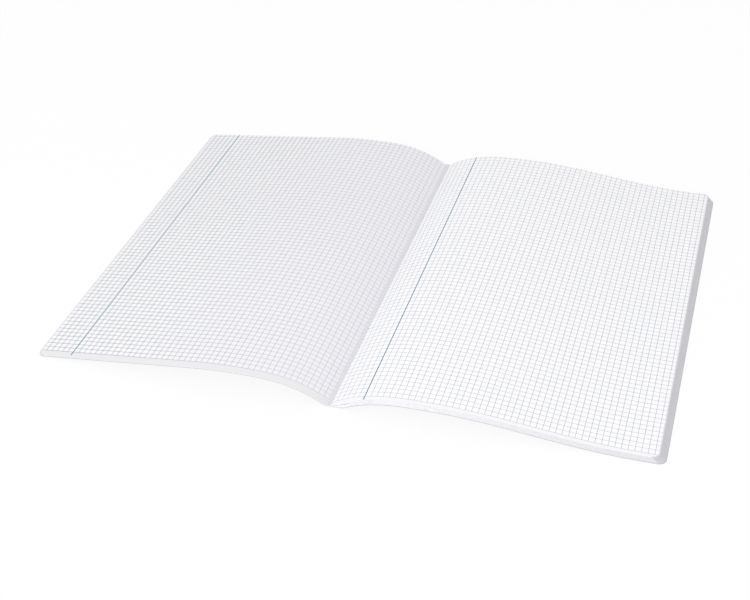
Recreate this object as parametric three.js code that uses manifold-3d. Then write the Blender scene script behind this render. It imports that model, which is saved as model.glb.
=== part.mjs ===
import * as THREE from "three";
import { mergeVertices } from "three/addons/utils/BufferGeometryUtils.js";
import Module from "manifold-3d";

// A stapled exercise notebook, lying open near its front.
// Millimetres. X runs across the spread, Y along the spine towards the head, Z up from the table.

const wasm = await Module();
wasm.setup();

// Pages and cover
const pageWidth = 207; // from the fold to the trimmed fore-edge
const pageHeight = 297;
const cornerRadius = 5;
const paperThickness = 0.09;
const coverThickness = 0.28;
const leafGap = 0.015; // air between neighbouring leaves
const sheetCount = 20;
const turnedLeaves = 4; // leaves lying on the left, with the front cover

// Staples
const wireDiameter = 0.45;
const wireClearance = 0.05;
const crownLength = 12;
const clinchLength = 4.5;
const clinchDepth = 1.6; // from the innermost fold to the clinched end
const stapleSpacing = 150;

// How the open pages lie
const spineWidth = 4.5; // flat strip between the opening fold and the front cover's hinge line
const rightCrestHeight = 15;
const rightCrestReach = 63;
const rightFlatWidth = 12; // strip along the fore-edge where the block lies flat on the table
const leftCrestHeight = 15;
const leftCrestReach = 57.5; // from the hinge line
const leftFallRadius = 263;
const foreEdgeSlant = 4.5; // how far the bottom leaf reaches past the top one

// Facets
const riseSteps = 8;
const riseCrowding = 1.4; // packs the stations towards the spine
const riseEasing = 3; // power that levels the rise off at its crest
const fallSteps = 8;
const fallArcSteps = 3;
const fallLineSteps = 3;
const cornerSteps = 3;
const wireSides = 12;
const flexStations = [3, 6, 9]; // stations where a turning leaf bends
const solvePasses = 20;

const strips = ["spine", "inner", "middle", "outer"];
const pitch = paperThickness + leafGap;
const staplePlay = wireDiameter + 2 * wireClearance; // room at the centre spread
const blockLeaves = 2 * sheetCount - turnedLeaves;
const blockThickness = coverThickness + blockLeaves * pitch + staplePlay;
const spineHeight = wireDiameter + wireClearance; // the cover's spine stands on the staple crowns
const frontThickness = coverThickness + turnedLeaves * pitch;

const materials = {
  page: new THREE.MeshStandardMaterial({ color: 0xf1f0f4, roughness: 0.9, metalness: 0 }),
  cover: new THREE.MeshStandardMaterial({ color: 0xb4b8bf, roughness: 0.6, metalness: 0 }),
  wire: new THREE.MeshStandardMaterial({ color: 0xb8babd, roughness: 0.3, metalness: 1 }),
};

const notebook = new THREE.Group();

function addMesh(name, geometry, material) {
  const mesh = new THREE.Mesh(geometry, material);
  mesh.name = name;
  notebook.add(mesh);
}

// Sections are lines of points in the X-Z plane; a parallel line keeps its distance at every corner.
function parallel(line, distance) {
  return line.map((point, i) => {
    const before = line[Math.max(i - 1, 0)];
    const after = line[Math.min(i + 1, line.length - 1)];
    const incoming = point.clone().sub(i ? before : point);
    const outgoing = after.clone().sub(point);
    if (!i) incoming.copy(outgoing);
    if (i === line.length - 1) outgoing.copy(incoming);
    incoming.normalize();
    outgoing.normalize();
    const normal = new THREE.Vector2(-incoming.y - outgoing.y, incoming.x + outgoing.x).normalize();
    const corner = normal.x * -outgoing.y + normal.y * outgoing.x;
    return point.clone().addScaledVector(normal, distance / corner);
  });
}

function lineLength(line) {
  return line.slice(1).reduce((sum, point, i) => sum + point.distanceTo(line[i]), 0);
}

// Point where two lines cross, with the index of the first point after it on each.
function crossing(a, b) {
  for (let i = 1; i < a.length; i++) {
    for (let j = 1; j < b.length; j++) {
      const p = a[i].clone().sub(a[i - 1]);
      const q = b[j].clone().sub(b[j - 1]);
      const gap = b[j - 1].clone().sub(a[i - 1]);
      const turn = p.cross(q);
      const t = gap.cross(q) / turn;
      const u = gap.cross(p) / turn;
      if (t >= 0 && t <= 1 && u >= 0 && u <= 1) {
        return { point: a[i - 1].clone().addScaledVector(p, t), a: i, b: j };
      }
    }
  }
  throw new Error("the two lines don't cross");
}

// Distances from the free edge where a rounded corner has a station, and how far it draws in there.
const cornerStations = Array.from({ length: cornerSteps + 1 }, (_, i) => {
  const angle = (Math.PI / 2) * (i / cornerSteps);
  return {
    fromEdge: cornerRadius * (1 - Math.sin(angle)),
    drawIn: cornerRadius * (1 - Math.cos(angle)),
  };
});

// A strip of sheet between two lines of equal count. Each station has its own half height in Y.
function sheetGeometry(lower, upper, halves) {
  const points = [];
  lower.forEach((low, i) => {
    const high = upper[i];
    const half = halves[i];
    points.push([low.x, -half, low.y], [low.x, half, low.y]);
    points.push([high.x, half, high.y], [high.x, -half, high.y]);
  });
  const index = [];
  for (let i = 0; i < lower.length - 1; i++) {
    for (let side = 0; side < 4; side++) {
      const a = 4 * i + side;
      const b = 4 * i + ((side + 1) % 4);
      index.push(a, b, b + 4, a, b + 4, a + 4);
    }
  }
  const last = points.length - 4;
  index.push(0, 2, 1, 0, 3, 2);
  index.push(last, last + 1, last + 2, last, last + 2, last + 3);
  const geometry = new THREE.BufferGeometry();
  geometry.setAttribute("position", new THREE.Float32BufferAttribute(points.flat(), 3));
  geometry.setIndex(index);
  if (solidOf(geometry).volume() < 0) {
    for (let i = 0; i < index.length; i += 3) [index[i], index[i + 1]] = [index[i + 1], index[i]];
    geometry.setIndex(index);
  }
  return geometry;
}

function solidOf(geometry) {
  const bare = geometry.clone();
  bare.deleteAttribute("normal");
  bare.deleteAttribute("uv");
  const merged = mergeVertices(bare);
  return new wasm.Manifold(
    new wasm.Mesh({
      numProp: 3,
      vertProperties: new Float32Array(merged.attributes.position.array),
      triVerts: new Uint32Array(merged.index.array),
    }),
  );
}

function geometryOf(solid) {
  const { vertProperties, triVerts } = solid.getMesh();
  const geometry = new THREE.BufferGeometry();
  geometry.setAttribute("position", new THREE.BufferAttribute(vertProperties, 3));
  geometry.setIndex(new THREE.BufferAttribute(triVerts, 1));
  return geometry;
}

const fullHalf = pageHeight / 2;

function edgeHalves(line) {
  const plain = line.length - cornerStations.length;
  return line.map((_, i) => (i < plain ? fullHalf : fullHalf - cornerStations[i - plain].drawIn));
}

// A quick rise that levels off at a crest.
function riseTo(reach, bottom, top) {
  return Array.from({ length: riseSteps + 1 }, (_, i) => {
    const share = (i / riseSteps) ** riseCrowding;
    const lift = 1 - (1 - share) ** riseEasing;
    return new THREE.Vector2(reach * share, bottom + (top - bottom) * lift);
  });
}

// The left stack's underside: from the hinge line up to a crest, over a wide arc, then straight down
// to the table. Its distances run to the left from the hinge line.
function leftLine() {
  const line = riseTo(leftCrestReach, spineHeight, leftCrestHeight - frontThickness);
  const crest = line.at(-1);
  const rest = pageWidth - spineWidth - lineLength(line);
  let slope = 0;
  for (let pass = 0; pass < solvePasses; pass++) {
    const straight = rest - leftFallRadius * slope;
    slope = Math.asin((crest.y - leftFallRadius * (1 - Math.cos(slope))) / straight);
  }
  for (let i = 1; i <= fallArcSteps; i++) {
    const angle = slope * (i / fallArcSteps);
    const drop = leftFallRadius * (1 - Math.cos(angle));
    line.push(new THREE.Vector2(crest.x + leftFallRadius * Math.sin(angle), crest.y - drop));
  }
  const bend = line.at(-1);
  const straight = bend.y / Math.sin(slope);
  const down = new THREE.Vector2(Math.cos(slope), -Math.sin(slope));
  for (let i = 1; i < fallLineSteps; i++) {
    const along = ((straight - cornerRadius) * i) / fallLineSteps;
    line.push(bend.clone().addScaledVector(down, along));
  }
  for (const { fromEdge } of cornerStations) {
    line.push(bend.clone().addScaledVector(down, straight - fromEdge));
  }
  return line.map((point) => new THREE.Vector2(-spineWidth - point.x, point.y));
}

const leftUnder = leftLine();

// A line of the left stack at some rise over its underside, mitred to the spine strip at the hinge.
function leftOver(rise) {
  const onSpine = new THREE.Vector2(0, spineHeight);
  return parallel([onSpine, ...leftUnder], -rise).slice(1);
}

// The right block's top face: up out of the fold to a crest, then a long S-shaped fall.
const foldHeight = spineHeight + coverThickness + (turnedLeaves + 1) * pitch;

function humpTo(flatReach) {
  const line = riseTo(rightCrestReach, foldHeight, rightCrestHeight);
  for (let i = 1; i <= fallSteps; i++) {
    const share = i / fallSteps;
    const reach = rightCrestReach + (flatReach - rightCrestReach) * share;
    const lift = (1 + Math.cos(Math.PI * share)) / 2;
    const height = blockThickness + (rightCrestHeight - blockThickness) * lift;
    line.push(new THREE.Vector2(reach, height));
  }
  return line;
}

const humpWidth = pageWidth - rightFlatWidth; // measured along the page
let flatReach = humpWidth;
for (let pass = 0; pass < solvePasses; pass++) {
  flatReach += humpWidth - lineLength(humpTo(flatReach));
}
const topReach = flatReach + rightFlatWidth;
const rightTop = humpTo(flatReach);
rightTop.push(new THREE.Vector2(topReach, blockThickness));
const leadIn = rightTop[0].clone().multiplyScalar(2).sub(rightTop[1]);
rightTop.unshift(leadIn); // runs on below the fold, so that every sheet's two halves cross

// Its underside lies on the table by the spine, then runs parallel to the top.
const ground = [
  new THREE.Vector2(-spineWidth, spineHeight),
  new THREE.Vector2(rightCrestReach, spineHeight),
];
const raised = parallel(rightTop, -blockThickness);
const liftOff = crossing(ground, raised);
const rightUnder = [ground[0], liftOff.point, ...raised.slice(liftOff.b)];

// Ends a line at the slanted fore-edge, with the stations of its rounded corner.
function trimmed(line, depth) {
  const reach = topReach + (foreEdgeSlant * depth) / blockThickness;
  const height = line.at(-1).y;
  const corner = cornerStations.map(({ fromEdge }) => new THREE.Vector2(reach - fromEdge, height));
  return [...line.slice(0, -1), ...corner];
}

// Middle line of a front leaf, at its depth under the top face.
function frontLine(leaf) {
  const depth = (leaf - turnedLeaves - 1) * pitch + paperThickness / 2;
  return trimmed(parallel(rightTop, -depth), depth);
}

// A line of the block at some rise over its underside, mitred to the left stack at the hinge.
function blockOver(rise) {
  const line = parallel([leftUnder[1], ...rightUnder], rise).slice(1);
  return trimmed(line, blockThickness - rise);
}

// Height of a leaf's lower face over the cover's underside, counted from the cover on either side.
const leafRise = (leaf) => coverThickness + leafGap + (leaf - 1) * pitch;
const backLine = (sheet) => blockOver(leafRise(sheet) + paperThickness / 2);

function leafBetween(middle) {
  const half = paperThickness / 2;
  return [parallel(middle, -half), parallel(middle, half)];
}

// Adds one moving leaf, or the front cover, as strips that meet at the lines where it bends.
function addStrips(name, lower, upper, material) {
  const halves = edgeHalves(lower);
  const cuts = [0, ...flexStations, lower.length - 1];
  strips.forEach((strip, k) => {
    const part = [cuts[k], cuts[k + 1] + 1];
    const geometry = sheetGeometry(lower.slice(...part), upper.slice(...part), halves.slice(...part));
    addMesh(name + "_" + strip, geometry, material);
  });
}

// Folds of the sheets, and the staple legs that run through them.
const numbered = (kind, number) => kind + "_" + String(number).padStart(2, "0");
const firstBlockSheet = turnedLeaves + 1;
const foldOf = (sheet) => crossing(frontLine(sheet), backLine(sheet));
const outerFold = foldOf(firstBlockSheet).point;
const innerFold = foldOf(sheetCount).point;
const legDirection = innerFold.clone().sub(outerFold).normalize();
const crownHeight = wireDiameter / 2;
const crownPoint = outerFold
  .clone()
  .addScaledVector(legDirection, (crownHeight - outerFold.y) / legDirection.y);
const clinchPoint = innerFold.clone().addScaledVector(legDirection, clinchDepth);

// A round wire along straight runs, mitred where they meet.
function wireGeometry(path, diameter) {
  const points = [];
  const side = new THREE.Vector3();
  path.forEach((point, i) => {
    const incoming = point.clone().sub(path[Math.max(i - 1, 0)]).normalize();
    const outgoing = path[Math.min(i + 1, path.length - 1)].clone().sub(point).normalize();
    if (!i) {
      incoming.copy(outgoing);
      side.crossVectors(incoming, new THREE.Vector3(0, 0, 1)).normalize();
    }
    if (i === path.length - 1) outgoing.copy(incoming);
    const other = new THREE.Vector3().crossVectors(incoming, side);
    const plane = incoming.clone().add(outgoing).normalize();
    for (let k = 0; k < wireSides; k++) {
      const angle = (2 * Math.PI * (k + 0.5)) / wireSides;
      const spoke = side.clone().multiplyScalar(Math.cos(angle));
      spoke.addScaledVector(other, Math.sin(angle)).multiplyScalar(diameter / 2);
      spoke.addScaledVector(incoming, -spoke.dot(plane) / incoming.dot(plane));
      points.push(point.clone().add(spoke));
    }
    const turn = new THREE.Quaternion().setFromUnitVectors(incoming, outgoing);
    side.applyQuaternion(turn);
  });
  const index = [];
  for (let i = 0; i < path.length - 1; i++) {
    for (let k = 0; k < wireSides; k++) {
      const a = i * wireSides + k;
      const b = i * wireSides + ((k + 1) % wireSides);
      index.push(a, b, b + wireSides, a, b + wireSides, a + wireSides);
    }
  }
  const last = (path.length - 1) * wireSides;
  for (let k = 1; k < wireSides - 1; k++) {
    index.push(0, k + 1, k);
    index.push(last, last + k, last + k + 1);
  }
  const geometry = new THREE.BufferGeometry().setFromPoints(points);
  geometry.setIndex(index);
  return geometry;
}

const atHeight = (point, y) => new THREE.Vector3(point.x, y, point.y);

function staplePath(centre) {
  const side = crownLength / 2;
  const path = [];
  for (const end of [-1, 1]) {
    const y = centre + end * side;
    const run = [
      atHeight(clinchPoint, y - end * clinchLength),
      atHeight(clinchPoint, y),
      atHeight(crownPoint, y),
    ];
    path.push(...(end < 0 ? run : run.reverse()));
  }
  return path;
}

const stapleCentres = { head: stapleSpacing / 2, tail: -stapleSpacing / 2 };
const stapleHoles = Object.values(stapleCentres).map((centre) =>
  solidOf(wireGeometry(staplePath(centre), wireDiameter + 2 * wireClearance)),
);

function pierced(geometry) {
  return geometryOf(stapleHoles.reduce((solid, hole) => solid.subtract(hole), solidOf(geometry)));
}

// Front cover and the leaves already turned, on the left.
addStrips("front_cover", leftOver(0), leftOver(coverThickness), materials.cover);
for (let leaf = 1; leaf <= turnedLeaves; leaf++) {
  const rise = leafRise(leaf);
  addStrips(numbered("leaf", leaf), leftOver(rise), leftOver(rise + paperThickness), materials.page);
}

// Whole folded sheets, from the one under the open right page to the centre spread.
for (let sheet = firstBlockSheet; sheet <= sheetCount; sheet++) {
  const front = frontLine(sheet);
  const back = backLine(sheet);
  const fold = crossing(front, back);
  const middle = [...front.slice(fold.a).reverse(), fold.point, ...back.slice(fold.b)];
  const halves = [
    ...edgeHalves(front).slice(fold.a).reverse(),
    fullHalf,
    ...edgeHalves(back).slice(fold.b),
  ];
  const [inside, outside] = leafBetween(middle);
  addMesh(numbered("sheet", sheet), pierced(sheetGeometry(inside, outside, halves)), materials.page);
}

// Back halves of the sheets whose front halves lie on the left, and the back cover with the spine.
function addBack(name, lower, upper, material) {
  addMesh(name, pierced(sheetGeometry(lower, upper, edgeHalves(lower))), material);
}

for (let sheet = turnedLeaves; sheet >= 1; sheet--) {
  const rise = leafRise(sheet);
  const name = numbered("leaf", 2 * sheetCount + 1 - sheet);
  addBack(name, blockOver(rise), blockOver(rise + paperThickness), materials.page);
}
addBack("back_cover", blockOver(0), blockOver(coverThickness), materials.cover);

for (const [place, centre] of Object.entries(stapleCentres)) {
  addMesh("staple_" + place, wireGeometry(staplePath(centre), wireDiameter), materials.wire);
}

// The origin lies on the table, under the middle of the spread.
const spread = new THREE.Box3().setFromObject(notebook);
notebook.position.x = -(spread.min.x + spread.max.x) / 2;

export default notebook;
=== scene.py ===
import math
import random
import bpy
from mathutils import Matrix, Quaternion, Vector


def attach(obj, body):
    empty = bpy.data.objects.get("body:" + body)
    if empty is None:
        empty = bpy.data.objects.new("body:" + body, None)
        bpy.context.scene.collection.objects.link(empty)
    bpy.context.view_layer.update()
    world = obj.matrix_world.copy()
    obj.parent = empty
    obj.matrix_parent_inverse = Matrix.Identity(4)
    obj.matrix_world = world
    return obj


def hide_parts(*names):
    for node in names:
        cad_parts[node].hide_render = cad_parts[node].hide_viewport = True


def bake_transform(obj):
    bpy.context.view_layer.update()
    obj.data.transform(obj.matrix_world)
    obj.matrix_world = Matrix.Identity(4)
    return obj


# Stapled exercise notebook lying open: every sheet is cut flat, bent along its own line and given
# its thickness. Blender works in metres, the dictionaries are in millimetres unless they say so.

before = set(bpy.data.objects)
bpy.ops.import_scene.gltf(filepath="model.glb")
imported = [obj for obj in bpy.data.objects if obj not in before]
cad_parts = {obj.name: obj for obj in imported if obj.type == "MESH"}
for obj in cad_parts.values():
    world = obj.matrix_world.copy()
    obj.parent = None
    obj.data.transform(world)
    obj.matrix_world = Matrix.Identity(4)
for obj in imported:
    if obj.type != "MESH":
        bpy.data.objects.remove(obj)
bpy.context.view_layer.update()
mm = 0.001
bpy.ops.object.select_all(action="DESELECT")


# Camera, floor and light

camera = {
    "aim": (44.07, -74.41, 0),
    "azimuth": 15.602,
    "elevation": 39.183,
    "roll": -0.845,
    "distance": 836.57,
    "lens": 60.85,
    "shift": (-0.0783, 0.0613),  # the picture is cropped off the middle of the view
    "nearest": 10,  # nothing nearer than this is drawn
}

bpy.ops.object.camera_add()
eye = bpy.context.object
eye.name = "camera"
azimuth, elevation = math.radians(camera["azimuth"]), math.radians(camera["elevation"])
back = Vector((
    math.sin(azimuth) * math.cos(elevation),
    -math.cos(azimuth) * math.cos(elevation),
    math.sin(elevation),
))
eye.location = (Vector(camera["aim"]) + back * camera["distance"]) * mm
eye.rotation_mode = "QUATERNION"
roll = Quaternion((0, 0, 1), math.radians(camera["roll"]))
eye.rotation_quaternion = back.to_track_quat("Z", "Y") @ roll
eye.data.lens = camera["lens"]
eye.data.shift_x, eye.data.shift_y = camera["shift"]
eye.data.clip_start = camera["nearest"] * mm
bpy.context.scene.camera = eye
bpy.context.scene.view_settings.view_transform = "Standard"

# the studio's lengths are in metres
studio = {
    "floorSize": 6,
    "floorDrop": 0.0001,
    "floorColour": "#fafafb",
    "floorWhite": 0.9,  # how much of the floor the camera sees as plain white
    "skyStrength": 0.83,
    "lampPlace": (-0.12, -1.15, 0.8),
    "lampSize": 0.8,
    "lampPower": 6.7,
}


def linear(code):
    # sRGB hex to the linear numbers that a shader takes
    parts = [int(code[i:i + 2], 16) / 255 for i in (1, 3, 5)]
    return [p / 12.92 if p <= 0.04045 else ((p + 0.055) / 1.055) ** 2.4 for p in parts] + [1]


def add(tree, kind, inputs=None, output=0, **settings):
    # one node with its settings; an input takes a value or another node's output
    made = tree.nodes.new("ShaderNode" + kind)
    for setting, value in settings.items():
        setattr(made, setting, value)
    for name, value in (inputs or {}).items():
        if isinstance(value, bpy.types.NodeSocket):
            tree.links.new(value, made.inputs[name])
        else:
            made.inputs[name].default_value = value
    return made.outputs[output] if made.outputs else None


def calc(tree, operation, first, second=0.0, **settings):
    return add(tree, "Math", {0: first, 1: second}, operation=operation, **settings)


def newMaterial(name):
    made = bpy.data.materials.new(name)
    made.use_nodes = True
    made.node_tree.nodes.clear()
    return made, made.node_tree


def seenWhite(tree):
    # 1 for rays from the camera, a reflection or glass, 0 for the light that falls on the notebook
    path = tree.nodes.new("ShaderNodeLightPath")
    seen = path.outputs["Is Camera Ray"]
    for kind in ("Is Glossy Ray", "Is Transmission Ray"):
        seen = calc(tree, "MAXIMUM", seen, path.outputs[kind])
    return seen


world = bpy.data.worlds.new("studio")
bpy.context.scene.world = world
world.use_nodes = True
sky = world.node_tree
sky.nodes.clear()
strength = add(sky, "MapRange", {
    "Value": seenWhite(sky), "To Min": studio["skyStrength"], "To Max": 1.0,
})
light = add(sky, "Background", {"Color": (1, 1, 1, 1), "Strength": strength})
add(sky, "OutputWorld", {"Surface": light})

bpy.ops.object.light_add(type="AREA", location=studio["lampPlace"])
lamp = bpy.context.object
lamp.name = "softbox"
lamp.rotation_euler = Vector(studio["lampPlace"]).to_track_quat("Z", "Y").to_euler()
lamp.data.size = studio["lampSize"]
lamp.data.energy = studio["lampPower"]

bpy.ops.mesh.primitive_plane_add(size=studio["floorSize"], location=(0, 0, -studio["floorDrop"]))
floor = bpy.context.object
floor.name = "floor"
# matt white floor that takes the notebook's shadow and otherwise shows as plain white
paint, tree = newMaterial("studio floor")
matt = add(tree, "BsdfDiffuse", {"Color": linear(studio["floorColour"])})
plain = add(tree, "Emission", {"Color": (1, 1, 1, 1), "Strength": 1.0})
share = calc(tree, "MULTIPLY", seenWhite(tree), studio["floorWhite"])
mixed = add(tree, "MixShader", {0: share, 1: matt, 2: plain})
add(tree, "OutputMaterial", {"Surface": mixed})
floor.data.materials.append(paint)
print("camera, floor and light stand")


# Materials

paper = {
    "right": {
        "white": "#fefefe",
        "cloud": "#f6f6f9",
        "squareInk": "#989bac",
        "squareLine": 0.28,
        "footStrip": 3.0,  # unruled strip along the foot of a page
        "footShade": "#f4f4f6",  # the strip is a greyer tone
        "marginFoot": 0.0,  # the margin line starts this far above the foot
    },
    # the other side of the paper takes more ink; its greyer white and cloud are painted shade on the
    # left-hand page, with more painted shade and fainter ink towards the fold
    "left": {
        "white": "#fafafb",
        "cloud": "#f0f0f3",
        "squareInk": "#666a7d",
        "squareLine": 0.34,
        "footStrip": 5.8,
        "footShade": "#e8e8ea",
        "marginFoot": 2.5,
    },
    "valley": (25, 150),  # the left page's painted shade and fading ink change between these distances from the fold
    "valleyShade": "#eeeef2",
    "valleyInk": 0.5,
    "foldShade": "#d8d8de",  # painted shade along the fold
    "foldReach": 6.5,
    "cloudSize": 5.0,
    "fibreSize": 0.25,  # coarser than real fibres, which would be too fine to show
    "mottle": (0.7, 1.3),
    "fibreBump": 0.2,
    "fibreHeight": 0.04,
    "dryInk": 0.75,  # how much ink the least inked fibres take
    "roughness": 0.88,
    "specular": 0.2,
    "square": 4.0,
    "lineFade": (0.65, 0.35),  # a printed line fades out between these shares of its width
    "margin": 24.0,
    "marginInk": "#287092",
    "marginLine": 0.64,  # a little wider than a printed line, so that it shows
    "edge": "#f6f6f8",
    "edgeGrain": "#ececef",
    "edgeScale": 2200.0,  # a coarser grain than that of cut fibres, which would be too fine to show
    "edgeRoughness": 0.95,
    "edgeSpecular": 0.1,
    "paintedEdgeShade": "#dadade",  # painted shade on the fore-edge and round its corners; the head and foot edges take the same grey
    "paintedEdgeShadeWidth": 0.7,
    "paintedEdgeShadeFade": 0.2,
    "paintedEdgeShadeStart": 0.6,
    "edgeGreying": (40, 205),  # the head and foot edges grey from here to here
    "edgeGreyingShare": 0.75,
}


def tinted(tree, share, colour, tone):
    # mixes a tone into a colour by a share
    return add(tree, "Mix", {0: share, 6: colour, 7: linear(tone)}, output=2, data_type="RGBA")


def noise(tree, where, scale, detail):
    return add(tree, "TexNoise", {"Vector": where, "Scale": scale, "Detail": detail})


def flatPlace(tree):
    # where a point lies on the flat sheet: as a vector, from the fold, and above the foot
    flat = add(tree, "UVMap", uv_map="flat")
    sideways = add(tree, "SeparateXYZ", {0: flat})
    return flat, calc(tree, "ABSOLUTE", sideways), sideways.node.outputs[1]


def inkLine(tree, distance, width):
    # 1 on a printed line, 0 beside it; distance runs from the middle of the line
    return add(tree, "MapRange", {
        "Value": distance,
        "From Min": width * paper["lineFade"][0] * mm,
        "From Max": width * paper["lineFade"][1] * mm,
    })


def paintedEdgeShade(tree, fromFold, upward, width):
    # 1 along the fore-edge and round its corners, over this width, where painted shade goes
    radius, fade = spread["cornerRadius"] * mm, paper["paintedEdgeShadeFade"]
    half = spread["pageHeight"] * mm / 2
    height = calc(tree, "ABSOLUTE", calc(tree, "SUBTRACT", upward, half))
    outward = calc(tree, "SUBTRACT", fromFold, spread["pageWidth"] * mm - radius, use_clamp=True)
    height = calc(tree, "SUBTRACT", height, half - radius, use_clamp=True)
    place = add(tree, "CombineXYZ", {0: outward, 1: height})
    far = add(tree, "VectorMath", {0: place}, output=1, operation="LENGTH")
    rim = add(tree, "MapRange", {
        "Value": far,
        "From Min": radius - (width + fade) * mm,
        "From Max": radius - (width - fade) * mm,
    })
    atSide = add(tree, "MapRange", {
        "Value": outward, "From Min": 0.0, "From Max": paper["paintedEdgeShadeStart"] * mm,
    })
    return calc(tree, "MULTIPLY", rim, atSide)


def surfaced(made, inputs):
    # ends a material with its shader
    surface = add(made.node_tree, "BsdfPrincipled", inputs)
    add(made.node_tree, "OutputMaterial", {"Surface": surface})
    return made


def pulp(tree, where, tones):
    # cloudy white of a wood-free paper, and its fibres as a height
    cloud = noise(tree, where, 1 / (paper["cloudSize"] * mm), detail=3.0)
    fibre = noise(tree, where, 1 / (paper["fibreSize"] * mm), detail=2.0)
    mottle = add(tree, "MapRange", {
        "Value": calc(tree, "ADD", cloud, fibre),
        "From Min": paper["mottle"][0],
        "From Max": paper["mottle"][1],
    })
    colour = tinted(tree, mottle, linear(tones["white"]), tones["cloud"])
    bump = add(tree, "Bump", {
        "Height": fibre, "Strength": paper["fibreBump"], "Distance": paper["fibreHeight"] * mm,
    })
    return colour, bump, fibre


def ruledPaper(name, side):
    # uncoated writing paper: soft matt white, with pale violet-grey squares and a thin blue margin
    made, tree = newMaterial(name)
    tones = paper[side]
    flat, fromFold, upward = flatPlace(tree)
    across = fromFold
    if side == "left":
        across = calc(tree, "SUBTRACT", spread["pageWidth"] * mm, fromFold)

    line, half = tones["squareLine"], paper["square"] * mm / 2
    height = calc(tree, "SUBTRACT", upward, tones["footStrip"] * mm)
    columns = inkLine(tree, calc(tree, "PINGPONG", across, half), line)
    rows = inkLine(tree, calc(tree, "PINGPONG", height, half), line)
    ruled = calc(tree, "GREATER_THAN", height, -line * mm / 2)
    squares = calc(tree, "MULTIPLY", calc(tree, "MAXIMUM", columns, rows), ruled)
    offset = calc(tree, "ABSOLUTE", calc(tree, "SUBTRACT", across, paper["margin"] * mm))
    starts = calc(tree, "GREATER_THAN", upward, tones["marginFoot"] * mm)
    margin = calc(tree, "MULTIPLY", inkLine(tree, offset, paper["marginLine"]), starts)

    colour, bump, fibre = pulp(tree, flat, tones)
    wet = add(tree, "MapRange", {"Value": fibre, "To Min": paper["dryInk"], "To Max": 1.0})
    squares = calc(tree, "MULTIPLY", squares, wet)
    if side == "left":
        # painted shade: the left page grows greyer towards the fold, and its ink fainter
        valley = add(tree, "MapRange", {
            "Value": fromFold,
            "From Min": paper["valley"][1] * mm,
            "From Max": paper["valley"][0] * mm,
        })
        colour = tinted(tree, valley, colour, paper["valleyShade"])
        faint = add(tree, "MapRange", {"Value": valley, "To Min": 1.0, "To Max": paper["valleyInk"]})
        squares = calc(tree, "MULTIPLY", squares, faint)
    bare = calc(tree, "SUBTRACT", 1.0, ruled)
    colour = tinted(tree, bare, colour, tones["footShade"])
    colour = tinted(tree, squares, colour, tones["squareInk"])
    colour = tinted(tree, margin, colour, paper["marginInk"])
    if side == "left":
        # painted shade in the fold
        paintedFoldShade = add(tree, "MapRange", {
            "Value": fromFold, "From Min": paper["foldReach"] * mm, "From Max": 0.0,
        }, interpolation_type="SMOOTHSTEP")
        colour = tinted(tree, paintedFoldShade, colour, paper["foldShade"])
    # painted shade along the fore-edge and round the corners of the page
    grey = paintedEdgeShade(tree, fromFold, upward, paper["paintedEdgeShadeWidth"])
    return surfaced(made, {
        "Base Color": tinted(tree, grey, colour, paper["paintedEdgeShade"]),
        "Roughness": paper["roughness"],
        "Specular IOR Level": paper["specular"],
        "Normal": bump,
    })


def cutPaper(name):
    # the trimmed edges: white near the fold, greyer towards the corners and along the fore-edge;
    # along the fore-edge and round its corners the grey is painted shade
    made, tree = newMaterial(name)
    grain = noise(tree, add(tree, "TexCoord", output=3), paper["edgeScale"], detail=2.0)
    colour = tinted(tree, grain, linear(paper["edge"]), paper["edgeGrain"])
    _, fromFold, upward = flatPlace(tree)
    grey = paintedEdgeShade(tree, fromFold, upward, spread["cornerRadius"])
    # the head and foot edges grow greyer towards the fore-edge
    edgeGreying = add(tree, "MapRange", {
        "Value": fromFold,
        "From Min": paper["edgeGreying"][0] * mm,
        "From Max": paper["edgeGreying"][1] * mm,
        "To Max": paper["edgeGreyingShare"],
    })
    grey = calc(tree, "MAXIMUM", grey, edgeGreying)
    return surfaced(made, {
        "Base Color": tinted(tree, grey, colour, paper["paintedEdgeShade"]),
        "Roughness": paper["edgeRoughness"],
        "Specular IOR Level": paper["edgeSpecular"],
    })


card = {
    # the grey is the cover's own colour and also painted shade: it is dark so that the card's thin
    # edge shows as the line of shade under the raised foot of the block
    "face": "#a3a6ac",
    "fleck": "#8d929d",
    "worn": "#cacccf",
    "fleckSize": 0.7,
    "fleckRange": (0.5, 0.72),  # only the peaks of the noise are flecks
    "rubScale": 350.0,
    "rubbed": (1.0, 7.5),  # the paler rubbing along the fold fades out between these distances
    "rubShare": 0.8,
    "bump": 0.25,
    "bumpHeight": 0.05,
    "roughness": 0.62,
    "specular": 0.35,
}


def coverCard(name):
    # matt cover card: cool mid grey with fine flecks, rubbed paler along the spine fold
    made, tree = newMaterial(name)
    flat, fromFold, _ = flatPlace(tree)
    fleck = noise(tree, flat, 1 / (card["fleckSize"] * mm), detail=3.0)
    spot = add(tree, "MapRange", {
        "Value": fleck, "From Min": card["fleckRange"][0], "From Max": card["fleckRange"][1],
    })
    colour = tinted(tree, spot, linear(card["face"]), card["fleck"])
    near = add(tree, "MapRange", {
        "Value": fromFold,
        "From Min": card["rubbed"][0] * mm,
        "From Max": card["rubbed"][1] * mm,
        "To Min": card["rubShare"],
        "To Max": 0.0,
    })
    rubbed = calc(tree, "MULTIPLY", noise(tree, flat, card["rubScale"], detail=4.0), near)
    bump = add(tree, "Bump", {
        "Height": fleck, "Strength": card["bump"], "Distance": card["bumpHeight"] * mm,
    })
    return surfaced(made, {
        "Base Color": tinted(tree, rubbed, colour, card["worn"]),
        "Roughness": card["roughness"],
        "Specular IOR Level": card["specular"],
        "Normal": bump,
    })


# The lines along which the sheets lie, in the X-Z plane

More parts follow.
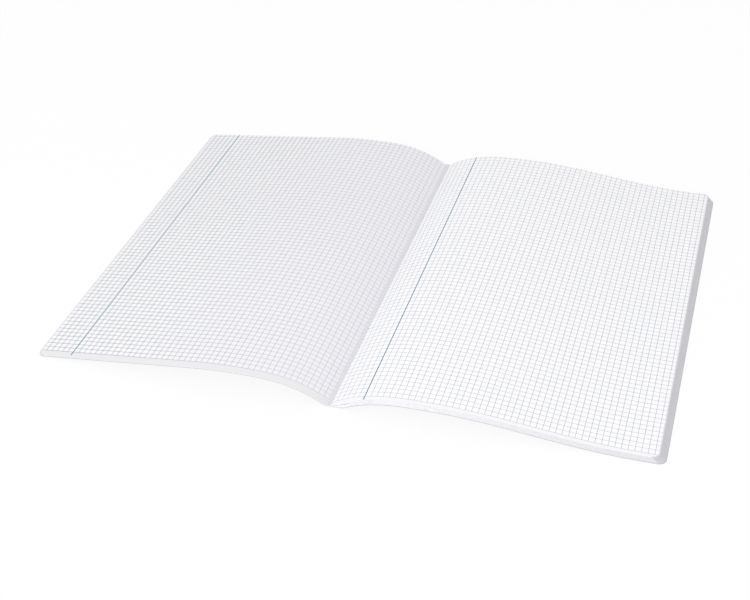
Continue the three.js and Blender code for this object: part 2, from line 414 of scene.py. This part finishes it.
spread = {
    "pageWidth": 207,
    "pageHeight": 297,
    "cornerRadius": 5,
    "middle": -2.4711,  # X of the opening fold
    "sheets": 20,
    "turned": 4,  # leaves lying on the left
    "paper": 0.09,
    "card": 0.28,
    "pitch": 0.105,  # from leaf to leaf
    "air": 0.015,  # between the cover and the leaf next to it
    "stapleRoom": 0.55,  # for the staple ends, in the middle of the block
    "loosens": (7.5, 20),  # from here to here the leaves of the block spread over that room
    "spineLift": 0.5,  # how far the spine stands off the table
    "spineWidth": 4.5,
    "rightCrestReach": 63,
    "rightCrestHeight": 15,
    "rightFlat": 12,  # level strip along the right fore-edge
    "leftCrestReach": 57.5,
    "leftCrestHeight": 15,
    "leftArc": 263,  # radius of the bend past the left crest
    "foreEdgeSlant": 4.5,  # how much further the lowest leaf reaches than the top one
    "hingeBend": 1.6,  # reach of the rounding at the left hinge
    "liftBend": 2.5,  # and where the block leaves the table
    "beforeFold": 12,  # the right page's line starts this far before the fold
    "pastEdge": 20,  # and ends this far past the fore-edge, until it is trimmed
    "endGap": 0.01,  # a trimmed line has no other point as near to its end
    "riseSteps": 60,
    "fallSteps": 120,
    "arcSteps": 30,
    "straightSteps": 20,
    "cornerSteps": 12,
    "humpRounds": 12,
    "slopeRounds": 20,
}

blockLeaves = 2 * spread["sheets"] - spread["turned"]
blockThickness = spread["card"] + blockLeaves * spread["pitch"] + spread["stapleRoom"]
frontThickness = spread["card"] + spread["turned"] * spread["pitch"]
foldHeight = spread["spineLift"] + spread["card"] + (spread["turned"] + 1) * spread["pitch"]


def lengthOf(line):
    return sum((b - a).length for a, b in zip(line, line[1:]))


def part(line, start, end):
    # the stretch of a line between two distances from its first point
    kept, gone = [], 0
    for a, b in zip(line, line[1:]):
        long = (b - a).length
        if gone + long > start and gone < end:
            if not kept:
                kept.append(a.lerp(b, max(0, start - gone) / long))
            kept.append(a.lerp(b, min(1, (end - gone) / long)))
        gone += long
    return kept


def parallel(line, distance, loosening=0):
    # the same run at some distance on its left-hand side, with more room beyond the staples
    moved = []
    near, far = spread["loosens"]
    for i, point in enumerate(line):
        ahead = line[min(i + 1, len(line) - 1)] - line[max(i - 1, 0)]
        s = min(1, max(0, (point.x - near) / (far - near)))
        away = distance + loosening * s * s * (3 - 2 * s)
        moved.append(point + Vector((-ahead.y, ahead.x)).normalized() * away)
    return moved


def crossing(first, second):
    # where two runs cross, and the next point on each
    for i in range(1, len(first)):
        a, p = first[i - 1], first[i] - first[i - 1]
        for j in range(1, len(second)):
            b, q = second[j - 1], second[j] - second[j - 1]
            turn = p.cross(q)
            if abs(turn) < 1e-9:  # parallel
                continue
            t = (b - a).cross(q) / turn
            u = (b - a).cross(p) / turn
            if 0 <= t <= 1 and 0 <= u <= 1:
                return a + p * t, i, j
    raise ValueError("the two runs don't cross")


def rounded(start, corner, end, steps):
    shares = [i / steps for i in range(steps + 1)]
    return [start.lerp(corner, s).lerp(corner.lerp(end, s), s) for s in shares]


def joined(first, second, reach):
    # two runs that meet at a corner, with the corner rounded; also gives the middle of the rounding
    before = part(first, 0, lengthOf(first) - reach)
    after = part(second, reach, lengthOf(second))
    bend = rounded(before[-1], second[0], after[0], spread["cornerSteps"])
    return before[:-1] + bend + after[1:], len(before) - 1 + spread["cornerSteps"] // 2


def rise(reach, bottom, top):
    # a quick rise that levels off at a crest
    shares = [i / spread["riseSteps"] for i in range(spread["riseSteps"] + 1)]
    return [Vector((reach * s, top - (top - bottom) * (1 - s) ** 3)) for s in shares]


def hump(flatReach):
    # the right page: up out of the fold, over the crest, then a long S-shaped fall
    reach, high = spread["rightCrestReach"], spread["rightCrestHeight"]
    run = rise(reach, foldHeight, high)
    for i in range(1, spread["fallSteps"] + 1):
        s = i / spread["fallSteps"]
        lift = (1 + math.cos(math.pi * s)) / 2
        place = (reach + (flatReach - reach) * s, blockThickness + (high - blockThickness) * lift)
        run.append(Vector(place))
    return run


# the foot of the hump is moved until the page has its full width along the curve
humpWidth = spread["pageWidth"] - spread["rightFlat"]
flatReach = humpWidth
for _ in range(spread["humpRounds"]):
    flatReach += humpWidth - lengthOf(hump(flatReach))
topReach = flatReach + spread["rightFlat"]
rightTop = hump(flatReach)
rightTop.append(Vector((topReach + spread["pastEdge"], blockThickness)))
rightTop.insert(0, rightTop[0] + (rightTop[0] - rightTop[1]).normalized() * spread["beforeFold"])

leftRise = rise(
    spread["leftCrestReach"], spread["spineLift"], spread["leftCrestHeight"] - frontThickness
)
# past its crest the left side bends by an arc and then runs straight down to the table
crest = leftRise[-1]
leftWidth = spread["pageWidth"] - spread["spineWidth"]
rest = leftWidth - lengthOf(leftRise)
slope = 0
for _ in range(spread["slopeRounds"]):
    straight = rest - spread["leftArc"] * slope
    slope = math.asin((crest.y - spread["leftArc"] * (1 - math.cos(slope))) / straight)
leftRun = list(leftRise)
for i in range(1, spread["arcSteps"] + 1):
    angle = slope * i / spread["arcSteps"]
    leftRun.append(crest + spread["leftArc"] * Vector((math.sin(angle), math.cos(angle) - 1)))
arcEnd = leftRun[-1]
tableEnd = arcEnd + Vector((math.cos(slope), -math.sin(slope))) * (arcEnd.y / math.sin(slope))
for i in range(1, spread["straightSteps"] + 1):
    leftRun.append(arcEnd.lerp(tableEnd, i / spread["straightSteps"]))
leftRun = [Vector((-spread["spineWidth"] - p.x, p.y)) for p in reversed(leftRun)]

raised = parallel(rightTop, -blockThickness)
ground = [leftRun[-1], Vector((spread["rightCrestReach"], spread["spineLift"]))]
liftOff, _, raisedStart = crossing(ground, raised)
ground = [leftRun[-1], liftOff]
underside, hinge = joined(leftRun, ground, spread["hingeBend"])
underside, _ = joined(underside, [liftOff] + raised[raisedStart:], spread["liftBend"])


def trimmed(line, depth):
    # ends a run at the slanted fore-edge
    reach = topReach + spread["foreEdgeSlant"] * depth / blockThickness
    kept = [p for p in line if p.x < reach - spread["endGap"]]
    return kept + [Vector((reach, kept[-1].y))]


def leafRise(leaf):
    # middle of a leaf over the cover's underside, counted from the cover on either side
    return spread["card"] + spread["air"] + (leaf - 1) * spread["pitch"] + spread["paper"] / 2


def frontRun(leaf):
    # middle of the front half of a sheet in the block, counted from the open page down
    above = leaf - spread["turned"] - 1
    depth = above * spread["pitch"] + spread["paper"] / 2
    loosening = spread["stapleRoom"] * (above + 0.5) / blockLeaves
    return trimmed(parallel(rightTop, -depth, -loosening), depth + loosening)


def backRun(leaf):
    # middle of a back half, counted from the table up; 0 is the cover
    height, loosening = spread["card"] / 2, 0
    if leaf:
        height = leafRise(leaf)
        loosening = spread["stapleRoom"] * (leaf - 0.5) / blockLeaves
    run = parallel(underside, height, loosening)[hinge:]
    return trimmed(run, blockThickness - height - loosening)


def leftSide(height):
    return parallel(underside, height)[:hinge + 1]


# Flat blanks

blank = {
    "columnWidth": 1.5,
    "fineColumn": 1.0,  # for the strips next to the hinge
    "rows": 4,
    "cornerSegments": 10,
    "samePlace": 1e-6,  # metres
    "smoothAngle": 35,
}


def choose(piece, wanted):
    # edit mode with the vertices picked by their place
    bpy.ops.object.mode_set(mode="EDIT")
    bpy.ops.mesh.select_mode(type="VERT")
    bpy.ops.mesh.select_all(action="DESELECT")
    bpy.ops.object.mode_set(mode="OBJECT")
    for vertex in piece.data.vertices:
        vertex.select = wanted(vertex.co)
    bpy.ops.object.mode_set(mode="EDIT")


def cutBlank(name, left, right, roundLeft=False, roundRight=False, column="columnWidth"):
    # a flat rectangle in the X-Y plane; its rounded ends get one wide column with bevelled corners
    radius, high = spread["cornerRadius"] * mm, spread["pageHeight"] * mm
    low = left * mm + (radius if roundLeft else 0)
    top = right * mm - (radius if roundRight else 0)
    same = blank["samePlace"]
    columns = 2 * max(1, round((top - low) / mm / blank[column] / 2))
    bpy.ops.object.select_all(action="DESELECT")
    bpy.ops.mesh.primitive_grid_add(
        x_subdivisions=columns, y_subdivisions=blank["rows"], size=1, location=((low + top) / 2, 0, 0)
    )
    piece = bpy.context.object
    piece.name = name
    bpy.ops.transform.resize(value=(top - low, high, 1))
    bpy.ops.object.transform_apply(location=True, rotation=True, scale=True)
    for wanted, end, side in ((roundLeft, low, -1), (roundRight, top, 1)):
        if not wanted:
            continue
        choose(piece, lambda co: abs(co.x - end) < same)
        bpy.ops.mesh.extrude_region_move(
            TRANSFORM_OT_translate={"value": (side * radius, 0, 0)}
        )
        edge = end + side * radius
        choose(piece, lambda co: abs(co.x - edge) < same and abs(co.y) > high / 2 - same)
        bpy.ops.mesh.bevel(
            offset=radius, segments=blank["cornerSegments"], affect="VERTICES", clamp_overlap=False
        )
        bpy.ops.mesh.select_all(action="SELECT")
        bpy.ops.mesh.remove_doubles(threshold=same)
    if piece.mode == "EDIT":
        bpy.ops.mesh.normals_make_consistent(inside=False)
        bpy.ops.object.mode_set(mode="OBJECT")
    if piece.data.polygons[0].normal.z < 0:
        piece.data.flip_normals()
    return piece


def writeFlatMap(piece, foldAt):
    # the flat place of every point, in metres from the fold and from the foot of the page
    layer = piece.data.uv_layers[0]
    layer.name = "flat"
    foot = spread["pageHeight"] * mm / 2
    for loop in piece.data.loops:
        co = piece.data.vertices[loop.vertex_index].co
        layer.data[loop.index].uv = (co.x - foldAt * mm, co.y + foot)


def copyOf(piece, name):
    made = piece.copy()
    made.data = piece.data.copy()
    made.name = name
    bpy.context.collection.objects.link(made)
    return made


def makeActive(piece):
    bpy.ops.object.select_all(action="DESELECT")
    piece.select_set(True)
    bpy.context.view_layer.objects.active = piece


def bendAlong(piece, line):
    # lays a flat piece along a run; its X is the distance from the run's first point
    run = bpy.data.curves.new("run", "CURVE")
    run.dimensions = "3D"
    run.twist_mode = "MINIMUM"
    path = run.splines.new("POLY")
    path.points.add(len(line) - 1)
    for point, place in zip(path.points, line):
        point.co = ((place.x + spread["middle"]) * mm, 0, place.y * mm, 1)
    guide = bpy.data.objects.new("run", run)
    bpy.context.collection.objects.link(guide)
    makeActive(piece)
    bend = piece.modifiers.new("bend", "CURVE")
    bend.object = guide
    bend.deform_axis = "POS_X"
    bpy.ops.object.modifier_apply(modifier="bend")
    bpy.data.objects.remove(guide)
    bpy.data.curves.remove(run)


def thicken(piece, thickness, otherSide, rim):
    # gives a bent sheet its thickness, half to each side; its other side and its rim take the
    # material that many slots after the one of the face
    wall = piece.modifiers.new("wall", "SOLIDIFY")
    wall.thickness = thickness * mm
    wall.offset = 0
    wall.material_offset = otherSide
    wall.material_offset_rim = rim
    bpy.ops.object.modifier_apply(modifier="wall")
    bpy.ops.object.shade_smooth_by_angle(angle=math.radians(blank["smoothAngle"]))


recto = ruledPaper("ruled paper, right-hand page", "right")
verso = ruledPaper("ruled paper, left-hand page", "left")
trimmedEdge = cutPaper("cut paper edge")
cardFace = coverCard("cover card")
print("materials and lines are ready")


# The block: whole folded sheets, the loose back halves, and the back cover

loose = {
    "seed": 11,
    "along": 0.08,  # how far a sheet sits out of line at its fore-edge
    "upDown": 0.06,
}
chance = random.Random(loose["seed"])
pageWidth = spread["pageWidth"]

sheetBlank = cutBlank("sheet blank", -pageWidth, pageWidth, roundLeft=True, roundRight=True)
writeFlatMap(sheetBlank, 0)
for face in sheetBlank.data.polygons:
    face.material_index = 0 if face.center.x < 0 else 1

for number in range(spread["turned"] + 1, spread["sheets"] + 1):
    front, behind = frontRun(number), backRun(number)
    fold, onFront, onBack = crossing(front, behind)
    front = [fold] + front[onFront:]
    behind = [fold] + behind[onBack:]
    first, second = lengthOf(front), lengthOf(behind)
    top = number == spread["turned"] + 1
    slip = 0 if top else chance.uniform(-1, 1) * loose["along"]
    lift = 0 if top else chance.uniform(-1, 1) * loose["upDown"]
    piece = copyOf(sheetBlank, "paper_sheet_%02d" % number)
    for vertex in piece.data.vertices:
        wide = (first if vertex.co.x < 0 else second) + slip
        vertex.co.x = (vertex.co.x / pageWidth) * wide + first * mm
        # turned over, because a run that starts towards the left turns it back
        vertex.co.y = lift * mm - vertex.co.y
    bendAlong(piece, front[::-1] + behind[1:])
    for material in (verso, recto, verso, trimmedEdge):
        piece.data.materials.append(material)
    thicken(piece, spread["paper"], otherSide=1, rim=3)
    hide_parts("sheet_%02d" % number)
    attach(piece, "block")
bpy.data.objects.remove(sheetBlank)
print("%d folded sheets are in the block" % (spread["sheets"] - spread["turned"]))

backBlank = cutBlank(
    "back blank", -spread["spineWidth"], pageWidth, roundRight=True, column="fineColumn"
)
writeFlatMap(backBlank, 0)
for face in backBlank.data.polygons:
    face.material_index = 0 if face.center.x > 0 else 1


def addBack(name, number, thickness, materials):
    run = backRun(number)
    wide = lengthOf(run) / (pageWidth + spread["spineWidth"])
    slip = chance.uniform(-1, 1) * loose["along"] if number else 0
    piece = copyOf(backBlank, name)
    for vertex in piece.data.vertices:
        place = vertex.co.x + spread["spineWidth"] * mm
        vertex.co.x = place * (wide + slip / pageWidth)
    bendAlong(piece, run)
    for material in materials:
        piece.data.materials.append(material)
    thicken(piece, thickness, otherSide=1, rim=3)
    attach(piece, "block")
    return piece


for sheet in range(spread["turned"], 0, -1):
    leaf = 2 * spread["sheets"] + 1 - sheet
    piece = addBack(
        "paper_leaf_%02d" % leaf, sheet, spread["paper"], (recto, verso, recto, trimmedEdge)
    )
    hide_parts("leaf_%02d" % leaf)
piece = addBack("card_back_cover", 0, spread["card"], (cardFace,))
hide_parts("back_cover")
bpy.data.objects.remove(backBlank)
print("back leaves and back cover lie under the block")


# The front cover with the leaves already turned: each bends over four strips

strips = {
    # name: from where to where it reaches and bends, from the hinge, and the bodies on its two sides
    "spine": {"from": 0, "to": 8.4, "bend": (0, 4.6), "bodies": ("block", "front_spine")},
    "inner": {"from": 8.4, "to": 29, "bend": (8.4, 27), "bodies": ("front_spine", "front_inner")},
    "middle": {"from": 29, "to": 56, "bend": (29, 54.5), "bodies": ("front_inner", "front_middle")},
    "outer": {"from": 56, "to": None, "bend": (56, 87), "bodies": ("front_middle", "front_outer")},
}


def placeOn(line, distance):
    # a point of a run, counted from the hinge, in the frame
    total = lengthOf(line)
    point = part(line, 0, total - distance)[-1] if distance else line[-1]
    return ((point.x + spread["middle"]) * mm, 0, point.y * mm)


cover = leftSide(spread["card"] / 2)
for strip, facts in strips.items():
    start, end = facts["from"], facts["to"] or leftWidth
    outer = facts["to"] is None
    stripBlank = cutBlank("strip blank", -end, -start, roundLeft=outer, column="fineColumn")
    writeFlatMap(stripBlank, spread["spineWidth"])
    bendStart, bendEnd = (placeOn(cover, distance) for distance in facts["bend"])
    for leaf in range(spread["turned"] + 1):
        height = leafRise(leaf) if leaf else spread["card"] / 2
        run = leftSide(height)
        total = lengthOf(run)
        stretch = (total - start) / (leftWidth - start) if outer else 1
        node = ("leaf_%02d_" % leaf if leaf else "front_cover_") + strip
        piece = copyOf(stripBlank, ("paper_" if leaf else "card_") + node)
        for vertex in piece.data.vertices:
            place = (vertex.co.x + start * mm) * stretch - start * mm
            vertex.co.x = place + total * mm
        bendAlong(piece, run)
        for material in (verso, recto, trimmedEdge) if leaf else (cardFace,):
            piece.data.materials.append(material)
        thicken(piece, spread["paper"] if leaf else spread["card"], otherSide=1, rim=2)
        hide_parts(node)
        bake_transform(piece)
    bpy.data.objects.remove(stripBlank)
print("front cover and turned leaves lie on the left")


# Staples: bent wire, crown outside the spine, ends folded down in the centre spread

staple = {
    "wire": 0.45,
    "crown": 12,
    "clinch": 4.5,
    "clinchDepth": 1.6,
    "spacing": 150,
    "bendRadius": 0.6,
    "bendSteps": 6,
    "roundness": 4,
    "smoothAngle": 40,
    "bright": "#c3c5c8",
    "dull": "#a9abaf",
    "scratchScale": 4000.0,
    "roughness": (0.25, 0.42),
}


def stapleSteel(name):
    # drawn galvanised wire: light grey metal, brighter and duller by fine scratches
    made, tree = newMaterial(name)
    scratch = noise(tree, add(tree, "TexCoord", output=3), staple["scratchScale"], detail=2.0)
    rough = add(tree, "MapRange", {
        "Value": scratch, "To Min": staple["roughness"][0], "To Max": staple["roughness"][1],
    })
    return surfaced(made, {
        "Base Color": tinted(tree, scratch, linear(staple["bright"]), staple["dull"]),
        "Roughness": rough,
        "Metallic": 1.0,
    })


def foldOf(number):
    return crossing(frontRun(number), backRun(number))[0]


outerFold, innerFold = foldOf(spread["turned"] + 1), foldOf(spread["sheets"])
leg = (innerFold - outerFold).normalized()
crownPoint = outerFold + leg * ((staple["wire"] / 2 - outerFold.y) / leg.y)
clinchPoint = innerFold + leg * staple["clinchDepth"]


def wirePath(centre):
    # the middle of the wire: end, leg, crown, leg, end, with rounded corners
    corners = []
    for end in (-1, 1):
        y = centre + end * staple["crown"] / 2
        run = [
            Vector((clinchPoint.x, y - end * staple["clinch"], clinchPoint.y)),
            Vector((clinchPoint.x, y, clinchPoint.y)),
            Vector((crownPoint.x, y, crownPoint.y)),
        ]
        corners += run if end < 0 else run[::-1]
    path = [corners[0]]
    for before, corner, after in zip(corners, corners[1:], corners[2:]):
        start = corner + (before - corner).normalized() * staple["bendRadius"]
        end = corner + (after - corner).normalized() * staple["bendRadius"]
        path += rounded(start, corner, end, staple["bendSteps"])
    return path + [corners[-1]]


steel = stapleSteel("galvanised staple wire")
for place, side in (("head", 1), ("tail", -1)):
    path = wirePath(side * staple["spacing"] / 2)
    drawn = bpy.data.curves.new("wire", "CURVE")
    drawn.dimensions = "3D"
    drawn.bevel_depth = staple["wire"] / 2 * mm
    drawn.bevel_resolution = staple["roundness"]
    drawn.use_fill_caps = True
    points = drawn.splines.new("POLY").points
    points.add(len(path) - 1)
    for point, co in zip(points, path):
        point.co = ((co.x + spread["middle"]) * mm, co.y * mm, co.z * mm, 1)
    piece = bpy.data.objects.new("wire_staple_" + place, drawn)
    bpy.context.collection.objects.link(piece)
    makeActive(piece)
    bpy.ops.object.convert(target="MESH")
    piece = bpy.context.object
    bpy.ops.object.shade_smooth_by_angle(angle=math.radians(staple["smoothAngle"]))
    piece.data.materials.append(steel)
    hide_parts("staple_" + place)
    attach(piece, "block")
print("staples are in")
